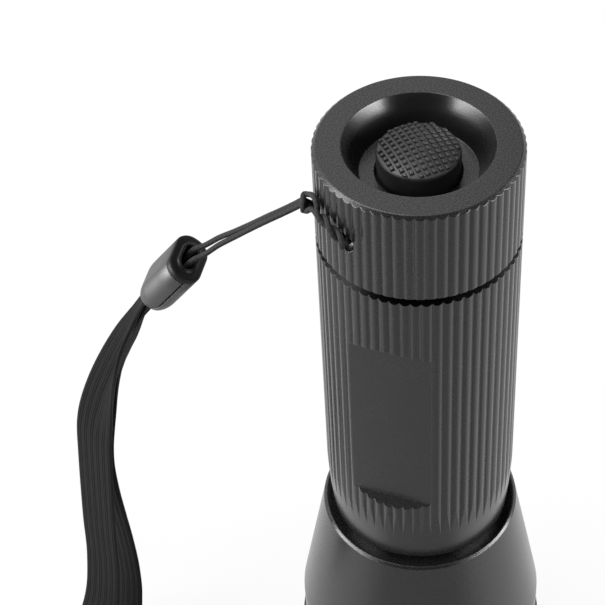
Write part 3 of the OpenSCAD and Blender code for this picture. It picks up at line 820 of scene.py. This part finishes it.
@dataclass
class Cord:
    """Thin braided cord: a loop hitched through the tail cap's tunnel, with both ends in the ferrule."""

    diameter: float = 0.86 * MM
    pair_gap: float = 0.43 * MM
    pair_step: float = 0.6 * MM
    leg_turns: int = 1
    step: float = 0.3 * MM
    sides: int = 12
    strand_mm: Points = (
        (-36.3, 0.43, 91.57), (-35.3, 0.2, 92.95), (-34.3, 0.0, 94.35), (-33.5, -0.1, 95.25),
        (-31.8, -0.1, 96.2), (-29.5, -0.5, 98.35), (-27.0, -1.2, 100.5), (-24.5, -1.9, 102.7),
        (-22.0, -2.65, 104.95), (-19.5, -3.15, 106.9), (-17.7, -3.5, 108.35),
    )
    apart_mm: tuple[float, ...] = (1.1, 1.1, 1.1, 1.1, 1.0, 0.8, 0.6, 0.48, 0.45, 0.43, 0.43)
    tunnel_mm: Points = (
        (-16.45, -3.77, 109.39), (-15.6, -3.75, 108.85), (-14.75, -3.68, 108.4), (-12.6, -4.33, 108.4),
        (-10.8, -4.87, 108.4), (-9.98, -5.4, 108.4), (-9.85, -6.2, 108.4), (-9.95, -7.4, 108.4),
        (-10.2, -9.4, 108.4), (-10.45, -11.05, 108.45),
    )
    leg_mm: Points = (
        (-10.5, -11.85, 108.8), (-10.65, -12.1, 109.35), (-11.05, -11.75, 109.9), (-11.65, -11.15, 110.35),
        (-12.35, -10.35, 110.7), (-13.1, -9.35, 110.9), (-13.85, -8.2, 110.85), (-14.2, -7.55, 110.7),
    )
    lower_mm: Points = ((-14.75, -6.65, 110.4), (-15.3, -5.9, 109.95), (-15.85, -5.45, 109.2))
    wrap_mm: Points = (
        (-16.35, -4.6, 108.55), (-16.4, -5.15, 109.15), (-16.35, -4.78, 110.02), (-16.4, -4.0, 110.3),
        (-16.3, -3.05, 110.22),
    )
    arm_mm: Points = (
        (-15.75, -3.4, 110.5), (-15.25, -4.15, 111.15), (-14.85, -5.15, 111.75), (-14.55, -6.05, 112.1),
        (-14.35, -6.7, 111.95), (-14.2, -7.15, 111.55),
    )

    def strand(self, way: float) -> list[Vector]:
        """One of the two strands from the ferrule to the hitch, on the side that the sign gives."""
        middles = metres(self.strand_mm)
        return [at + Vector((0.0, way * apart * MM, 0.0)) for at, apart in zip(middles, self.apart_mm)]

    def pair(self) -> tuple[list[Vector], list[Vector]]:
        """The two strands from the hitch through the tunnel, and twisted together back towards the hitch."""
        route = smooth_route(metres([*self.tunnel_mm, *self.leg_mm]), self.pair_step)
        far = distances(route)
        straight = distances(smooth_route(metres(self.tunnel_mm), self.pair_step))[-1]
        frames = carried_frames(route)
        last_side, last_up = frames[-1]
        whole = math.atan2(-last_up.z, -last_side.z) + TURN * self.leg_turns
        first: list[Vector] = []
        second: list[Vector] = []
        for point, along, (side, up) in zip(route, far, frames):
            angle = whole * max(0.0, along - straight) / (far[-1] - straight)
            off = self.pair_gap * (math.cos(angle) * side + math.sin(angle) * up)
            first.append(point + off)
            second.append(point - off)
        return first, second

    def route(self) -> list[Vector]:
        """The whole cord, from one end in the ferrule to the other."""
        first, second = self.pair()
        hitch = metres([*self.lower_mm, *self.wrap_mm, *self.arm_mm])
        controls = [*self.strand(1.0), *first, *hitch, *reversed(second), *reversed(self.strand(-1.0))]
        return smooth_route(controls, self.step)

    def build(self) -> tuple[Piece, list[Vector]]:
        """Sweeps the cord.

        Returns:
            The cord and the points that it follows.
        """
        route = self.route()
        reach = self.diameter / 2
        angles = round_angles(self.sides)
        shape = Shape()
        rings: list[list[int]] = []
        for point, (side, up) in zip(route, carried_frames(route)):
            ring = [point + reach * (math.cos(a) * side + math.sin(a) * up) for a in angles]
            rings.append(shape.ring(ring))
        shape.sweep(rings, route)
        return shape.piece("lanyard_loop", sharp=60.0), route


@dataclass
class Strap:
    """Flat woven wrist strap: one length, folded in a loop, with both ends in the ferrule."""

    width: float = 8.0 * MM
    gathered: float = 5.4 * MM
    thickness: float = 0.8 * MM
    held: float = 3.0 * MM
    spread: float = 34.0 * MM
    turn: Pair = (-101.9, -38.0)
    fold: float = 1.8 * MM
    fold_at: float = 0.12
    fold_run: tuple[float, ...] = (3.5 * MM, 15.0 * MM, 18.0 * MM, 38.0 * MM)
    step: float = 0.8 * MM
    columns: int = 37
    ridges: int = 6
    ridge: float = 0.05 * MM
    squareness: int = 14
    route_mm: Points = (
        (-39.27, 1.05, 88.2), (-40.72, 1.36, 86.19), (-41.87, 1.6, 84.57), (-44.1, 1.0, 81.2),
        (-47.2, 0.2, 76.0), (-49.75, -0.6, 69.6), (-51.75, -1.3, 62.5), (-53.1, -1.6, 55.5),
        (-53.8, -1.8, 48.0), (-54.4, -2.1, 40.0), (-55.0, -2.4, 31.0), (-55.4, -3.0, 22.0),
        (-56.4, -4.8, 13.5), (-58.3, -7.6, 8.6), (-61.6, -12.0, 6.4), (-66.4, -18.2, 6.5),
        (-71.6, -24.8, 7.2), (-76.6, -31.2, 7.8), (-80.8, -36.6, 7.2), (-83.0, -39.4, 5.4),
        (-83.4, -40.0, 3.4), (-82.0, -38.2, 1.5), (-79.0, -34.4, 0.6), (-74.0, -28.0, 0.5),
        (-68.0, -20.4, 0.5), (-62.0, -12.8, 0.5), (-57.2, -6.4, 1.0), (-54.2, -1.6, 3.8),
        (-53.2, 1.4, 9.0), (-53.1, 2.8, 16.0), (-53.4, 3.0, 24.0), (-53.8, 2.6, 32.0),
        (-54.1, 2.2, 39.5), (-54.0, 1.8, 47.0), (-53.1, 1.7, 54.6), (-51.5, 1.5, 61.6),
        (-49.4, 1.6, 68.6), (-46.7, 1.9, 75.2), (-43.7, 1.9, 80.4), (-41.16, 1.45, 84.04),
        (-40.0, 1.2, 85.65), (-38.56, 0.9, 87.67),
    )

    def section(self) -> Outline:
        """Outline of both faces: places across the strap, from -1 to 1, with heights from its middle."""
        face: Outline = []
        for k in range(self.columns):
            across = -1.0 + 2.0 * k / (self.columns - 1)
            rib = self.ridge * math.cos(math.pi * self.ridges * (across + 1.0))
            edge = math.sqrt(max(0.0, 1.0 - abs(across) ** self.squareness))
            face.append((across, edge * (self.thickness / 2 - self.ridge - rib)))
        return [*face, *((across, -height) for across, height in face[-2:0:-1])]

    def build(self) -> tuple[Piece, list[Vector]]:
        """Sweeps the strap, gathered and creased below the ferrule and flat further on.

        Returns:
            The strap and the points that it follows.
        """
        route = smooth_route(metres(self.route_mm), self.step)
        along = distances(route)
        section = self.section()
        grows, full, shrinks, gone = self.fold_run
        shape = Shape()
        rings: list[list[int]] = []
        for point, far, heading in zip(route, along, tangents(route)):
            near = min(far, along[-1] - far)
            ease = eased(near, self.held, self.held + self.spread)
            angle = math.radians(self.turn[0] + (self.turn[1] - self.turn[0]) * ease)
            reach = (self.gathered + (self.width - self.gathered) * ease) / 2
            side = Vector((math.cos(angle), math.sin(angle), 0.0))
            side = (side - side.dot(heading) * heading).normalized()
            up = heading.cross(side)
            loose = eased(near, grows, full) * (1.0 - eased(near, shrinks, gone))
            dip = -self.fold * loose if far < along[-1] / 2 else self.fold * loose
            ring: list[Vector] = []
            for across, height in section:
                lift = dip * (1.0 - abs(across - self.fold_at))
                ring.append(point + reach * across * side + (lift + height) * up)
            rings.append(shape.ring(ring))
        shape.sweep(rings, route, [(across + 1.0) * self.width / 2 for across, _ in (*section, section[0])])
        return shape.piece("wrist_webbing", sharp=60.0), route


@dataclass
class Boot:
    """Rubber boot over the tail switch, in millimetres: a clamped rim, a soft wall and a studded dome."""

    radius: float = 6.07
    rim_radius: float = 8.58
    rim_bore: float = 6.4
    rim_low: float = 109.62
    rim_high: float = 110.58
    dome_edge: float = 115.57
    dome_high: float = 1.0
    wall: float = 1.2
    wall_levels: Pair = (110.6, 113.6)
    post_radius: float = 2.0
    post_bore: float = 0.6
    post_low: float = 109.65
    post_steps: int = 48
    stud_pitch: float = 1.02
    stud_turn: float = 25.5
    stud_levels: tuple[Pair, ...] = ((0.38, -0.12), (0.36, 0.02), (0.24, 0.29), (0.17, 0.34))
    stud_corners: tuple[tuple[int, int], ...] = ((1, 1), (-1, 1), (-1, -1), (1, -1))
    studded: float = 5.86
    steps: int = 120
    flank: tuple[Pair, ...] = (
        (5.96, 111.5), (6.0, 112.2), (6.06, 113.0), (6.1, 113.8),
        (6.1, 114.7), (6.08, 115.15), (6.04, 115.38), (5.96, 115.55),
    )
    crown_radii: tuple[float, ...] = (5.86, 5.4, 4.8, 4.0, 3.2, 2.4, 1.6, 0.8, 0.0)
    roof_radii: tuple[float, ...] = (4.4, 3.2, 2.0, 1.0, 0.0)

    def ball(self) -> Pair:
        """Radius of the ball that the dome is part of, and the height of its centre."""
        radius = (self.radius**2 + self.dome_high**2) / (2 * self.dome_high)
        return radius, self.dome_edge + self.dome_high - radius

    def dome(self, radius: float) -> float:
        """Height of the dome at a radius."""
        ball, centre = self.ball()
        return centre + math.sqrt(ball**2 - radius**2)

    def on_dome(self, spot: Vector, lift: float) -> Vector:
        """Place above or below the dome's skin, drawn in to the edge of the studded part."""
        drawn = spot * min(1.0, self.studded / max(spot.length, self.stud_pitch))
        skin = Vector((drawn.x, drawn.y, self.dome(drawn.length)))
        centre = Vector((0.0, 0.0, self.ball()[1]))
        return skin + lift * (skin - centre).normalized()

    def profile(self) -> Outline:
        """Outline of the boot's outside, from under the rim to the pole."""
        rim = [
            (self.rim_radius, self.rim_low), (self.rim_radius, self.rim_high), (6.5, self.rim_high),
            (6.2, self.rim_high + 0.1), (6.02, self.rim_high + 0.4),
        ]
        return [*rim, *self.flank, *((r, self.dome(r)) for r in self.crown_radii)]

    def hollow(self) -> Outline:
        """Outline of the boot's inside, from under the rim to the pole."""
        rim = [(self.rim_radius, self.rim_low), (self.rim_bore, self.rim_low)]
        wall = [(self.radius - self.wall, level) for level in self.wall_levels]
        return [*rim, *wall, *((r, self.dome(r) - self.wall) for r in self.roof_radii)]

    def add_studs(self, shape: Shape) -> None:
        """Adds the square studs of the dome, in rows that run at a slant to the torch."""
        turn = Matrix.Rotation(math.radians(self.stud_turn), 3, "Z")
        reach = int(self.radius / self.stud_pitch) + 1
        for i in range(-reach, reach + 1):
            for j in range(-reach, reach + 1):
                spot = turn @ Vector((i * self.stud_pitch, j * self.stud_pitch, 0.0))
                if spot.length > self.studded:
                    continue
                rings: list[list[int]] = []
                for half, lift in self.stud_levels:
                    corners = [spot + turn @ Vector((half * a, half * b, 0.0)) for a, b in self.stud_corners]
                    rings.append(shape.ring([self.on_dome(corner, lift) * MM for corner in corners]))
                shape.skin(rings)
                shape.face(rings[-1])
                shape.face(list(reversed(rings[0])))

    def build(self) -> Piece:
        """Makes the boot as one piece."""
        shape = Shape()
        for outline in (self.profile(), self.hollow()):
            shape.turned([(r * MM, z * MM) for r, z in outline], self.steps)
        self.add_studs(shape)
        return shape.piece("tail_boot", sharp=32.0)

    def post(self) -> Piece:
        """Makes the post inside the dome that pushes the switch plunger."""
        roof = self.dome(0.0) - self.wall
        outline = [
            (self.post_bore, self.post_low), (self.post_radius - 0.2, self.post_low),
            (self.post_radius, self.post_low + 0.2), (self.post_radius, roof - 1.0),
            (self.post_radius + 0.4, roof - 0.1),
        ]
        shape = Shape()
        shape.turned([(r * MM, z * MM) for r, z in outline], self.post_steps)
        return shape.piece("boot_post", sharp=40.0)


@dataclass
class Studio:
    """Camera, lamps, black cards, floor and background."""

    camera_mm: Triple = (0.0, -211.0, 306.2)
    yaw: float = -0.084
    pitch: float = 0.808
    roll: float = -0.0644
    lens: float = 119.55
    sensor: float = 36.0
    clip: Pair = (0.01, 20.0)
    lamp_aim: Triple = (0.0, 0.0, 0.08)
    card_steps: int = 24
    card_level: float = 0.01
    surround: float = 0.55
    floor_reach: float = 3.0
    # Painted shade and light on the floor: its matt grey in front and at the sides, the turns between which
    # it grows lighter, and the glow that gloss and glass rays see at the sides.
    shaded_and_lit_floor_levels: Pair = (0.4, 0.86)
    painted_light_turns: Pair = (0.5, 1.3)
    straight_glow: float = 0.9
    painted_reflection_glow: float = 0.95

    def build_camera(self) -> None:
        """Sets the camera where the photograph was taken from."""
        ahead = Vector((math.sin(self.yaw) * math.cos(self.pitch), math.cos(self.yaw) * math.cos(self.pitch),
                        -math.sin(self.pitch)))
        level = Vector((math.cos(self.yaw), -math.sin(self.yaw), 0.0))
        above = level.cross(ahead)
        right = math.cos(self.roll) * level + math.sin(self.roll) * above
        up = math.cos(self.roll) * above - math.sin(self.roll) * level
        data = bpy.data.cameras.new("photo_camera")
        data.sensor_width = self.sensor
        data.lens = self.lens
        data.clip_start, data.clip_end = self.clip
        camera = bpy.data.objects.new("photo_camera", data)
        turn = Matrix((right, up, -ahead)).transposed().to_4x4()
        camera.matrix_world = Matrix.Translation(Vector(self.camera_mm) * MM) @ turn
        bpy.context.scene.collection.objects.link(camera)
        bpy.context.scene.camera = camera

    def lamp(self, name: str, at: Triple, size: Pair, watts: float) -> None:
        """Adds one softbox that faces the torch.

        Args:
            name: its name.
            at: its place.
            size: its width and height.
            watts: its power.
        """
        data = bpy.data.lights.new(name, "AREA")
        data.shape = "RECTANGLE"
        data.size, data.size_y = size
        data.energy = watts
        box = bpy.data.objects.new(name, data)
        box.location = at
        box.rotation_mode = "QUATERNION"
        box.rotation_quaternion = (Vector(self.lamp_aim) - Vector(at)).to_track_quat("-Z", "Y")
        bpy.context.scene.collection.objects.link(box)

    def build_lamps(self) -> None:
        """Adds a low softbox at each side, a wide one above and a narrow one high at the left."""
        self.lamp("left_softbox", (-0.68, -0.17, 0.21), (0.66, 0.22), 4.8)
        self.lamp("right_softbox", (0.68, -0.17, 0.21), (0.66, 0.22), 6.0)
        self.lamp("top_softbox", (-0.3, 0.14, 0.85), (0.5, 0.4), 3.5)
        self.lamp("edge_softbox", (-0.648, -0.138, 0.469), (0.42, 0.12), 1.2)

    def hang_card(self, name: str, reach: float, turns: Pair, levels: Pair) -> None:
        """Hangs a curved black card that keeps the faces turned to it dark.

        Args:
            name: its name.
            reach: its distance from the torch's axis.
            turns: the angles round the axis between which it hangs, in degrees.
            levels: heights of its lower and upper edges.
        """
        first, last = (math.radians(turn) for turn in turns)
        spots = [first + (last - first) * k / self.card_steps for k in range(self.card_steps + 1)]
        arc = [reach * Vector((math.cos(a), math.sin(a), 0.0)) for a in spots]
        shape = Shape()
        lower, upper = (shape.ring([spot + Vector((0.0, 0.0, level)) for spot in arc]) for level in levels)
        for k in range(self.card_steps):
            shape.face((lower[k], lower[k + 1], upper[k + 1], upper[k]))
        card = shape.piece(name)
        made, graph = new_material(name)
        graph.show(graph.matt(self.card_level))
        card.data.materials.append(made)
        card.visible_camera = False

    def build_cards(self) -> None:
        """Hangs black cards behind the camera, at the right and above the left softbox."""
        self.hang_card("front_card", 0.55, (228.0, 314.0), (0.1, 0.95))
        self.hang_card("right_card", 0.8, (-42.0, 82.0), (0.36, 1.3))
        self.hang_card("left_card", 0.8, (165.0, 230.0), (0.55, 1.2))

    def ray_shares(self, graph: Graph) -> tuple[Wire, Wire]:
        """Shares that are 1 for what is seen straight, and for what is seen in gloss or through glass."""
        kinds = ("Is Camera Ray", "Is Glossy Ray", "Is Transmission Ray")
        straight, gloss, glass = (graph.add("ShaderNodeLightPath", output=kind) for kind in kinds)
        return straight, gloss + glass

    def build_world(self) -> None:
        """Sets a soft grey surround that is seen as white."""
        world = bpy.data.worlds.new("studio")
        world.use_nodes = True
        bpy.context.scene.world = world
        graph = Graph(world.node_tree)
        grey = (self.surround, self.surround, self.surround)
        straight, mirrored = self.ray_shares(graph)
        colour = graph.tint((straight + mirrored).eased(0.0, 1.0), grey, (1.0, 1.0, 1.0))
        shader = graph.add("ShaderNodeBackground", None, {"Color": colour, "Strength": 1.0})
        graph.add("ShaderNodeOutputWorld", None, {"Surface": shader})

    def build_floor(self) -> None:
        """Lays a pale floor with a faint shadow; its matt colour is painted darker in front of the torch as
        painted shade, and at both sides it glows for gloss and glass rays as a painted reflection, which the
        torch mirrors as brighter at both sides.
        """
        shape = Shape()
        reach = self.floor_reach
        corners = ((-reach, -reach, 0.0), (reach, -reach, 0.0), (reach, reach, 0.0), (-reach, reach, 0.0))
        shape.face(shape.ring([Vector(corner) for corner in corners]))
        floor = shape.piece("floor")
        made, graph = new_material("pale_floor")
        # Painted shade in front of the torch and painted reflection at its sides: the matt grey grows from
        # dim to pale, and the glow for gloss and glass rays grows, with the turn away from -Y.
        turned = graph.coordinate(0).abs().math("ARCTAN2", 0.0 - graph.coordinate(1))
        painted_side_light = turned.eased(*self.painted_light_turns)
        painted_front_shade, pale = (graph.matt(level) for level in self.shaded_and_lit_floor_levels)
        matt = graph.add("ShaderNodeMixShader", None, {0: painted_side_light, 1: painted_front_shade, 2: pale})
        glow = graph.add("ShaderNodeEmission", None, {"Color": (1.0, 1.0, 1.0, 1.0), "Strength": 1.0})
        straight, mirrored = self.ray_shares(graph)
        share = self.straight_glow * straight + self.painted_reflection_glow * mirrored * painted_side_light
        graph.show(graph.add("ShaderNodeMixShader", None, {0: share, 1: matt, 2: glow}))
        floor.data.materials.append(made)


@dataclass
class Lanyard:
    """Cord, ferrule and strap, which all hang on the tail cap."""

    cord: Cord
    ferrule: Ferrule
    strap: Strap
    cord_length: float = 0.115
    strap_length: float = 0.268

    def build(self) -> None:
        sleeve = self.ferrule.shell()
        plug = self.ferrule.plug()
        cord, cord_path = self.cord.build()
        strap, strap_path = self.strap.build()
        stands_for = (
            (sleeve, FERRULE, ("strap_ferrule",)),
            (plug, PLASTIC, ("ferrule_plug",)),
            (cord, CORD, ("lanyard_tether", "lanyard_knot", "lanyard_cord")),
            (strap, WEBBING, ("wrist_strap",)),
        )
        for piece, finish, nodes in stands_for:
            finish.dress(piece)
            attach(piece, Body.TAIL_CAP.value)
            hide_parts(*nodes)
            LOG.info("%s stands for %s", piece.name, ", ".join(nodes))
        LOG.info("cord %.4f m, strap %.4f m", distances(cord_path)[-1], distances(strap_path)[-1])


def dress_solids(frame: dict) -> None:
    """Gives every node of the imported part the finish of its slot."""
    by_slot = {finish.slot.value: finish for finish in FINISHES}
    for entry in frame["record"]["subparts"]:
        finish = by_slot[entry["material_slot"]]
        finish.dress(frame["nodes"][entry["node"]])
        LOG.info("%s wears %s", entry["node"], finish.slot.value)


def build_boot() -> None:
    """Makes the rubber boot and its post; the boot stays in the part's frame, attached to no body, and the
    post rides on the button.
    """
    boot = Boot()
    cover = boot.build()
    BOOT.dress(cover)
    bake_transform(cover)
    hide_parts("button_boot", "boot_rim")
    post = boot.post()
    BOOT.dress(post)
    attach(post, Body.BUTTON.value)
    LOG.info("%s and %s stand for the button", cover.name, post.name)


def main() -> None:
    """Builds everything in order."""
    logging.basicConfig(level=logging.INFO)
    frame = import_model()
    bpy.context.scene.view_settings.view_transform = "Standard"
    studio = Studio()
    studio.build_camera()
    Lanyard(Cord(), Ferrule(), Strap()).build()
    build_boot()
    dress_solids(frame)
    studio.build_floor()
    studio.build_cards()
    studio.build_lamps()
    studio.build_world()


if __name__ == "__main__":
    main()
